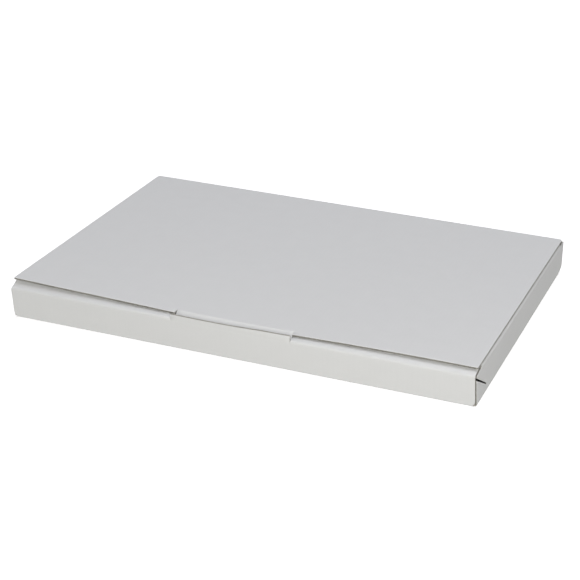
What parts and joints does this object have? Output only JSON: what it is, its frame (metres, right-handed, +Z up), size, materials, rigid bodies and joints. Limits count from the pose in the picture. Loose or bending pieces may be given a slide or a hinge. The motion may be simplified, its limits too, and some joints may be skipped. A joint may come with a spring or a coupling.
{
  "type": "book mailer box",
  "caption": "Flat white corrugated mailer for a book: a folded tray with in-turned flaps and a hinged lid whose tongue tucks into a slot along the front wall.",
  "frame": {"origin": "on the ground under the middle of the closed box", "axes": "+X along the box to its right, +Y to the back where the lid is creased, +Z up"},
  "size_m": [0.3162, 0.2178, 0.0275],
  "materials": {
    "white_board": "matte white-lined corrugated board"
  },
  "bodies": {
    "tray": {"tray": "white_board"},
    "lid": {"lid": "white_board"}
  },
  "joints": [
    {"name": "lid_hinge", "type": "hinge", "parent": "tray", "child": "lid", "pos_m": [0, 0.1089, 0.0244], "axis": [-1, 0, 0], "range_deg": [0, 180]}
  ]
}
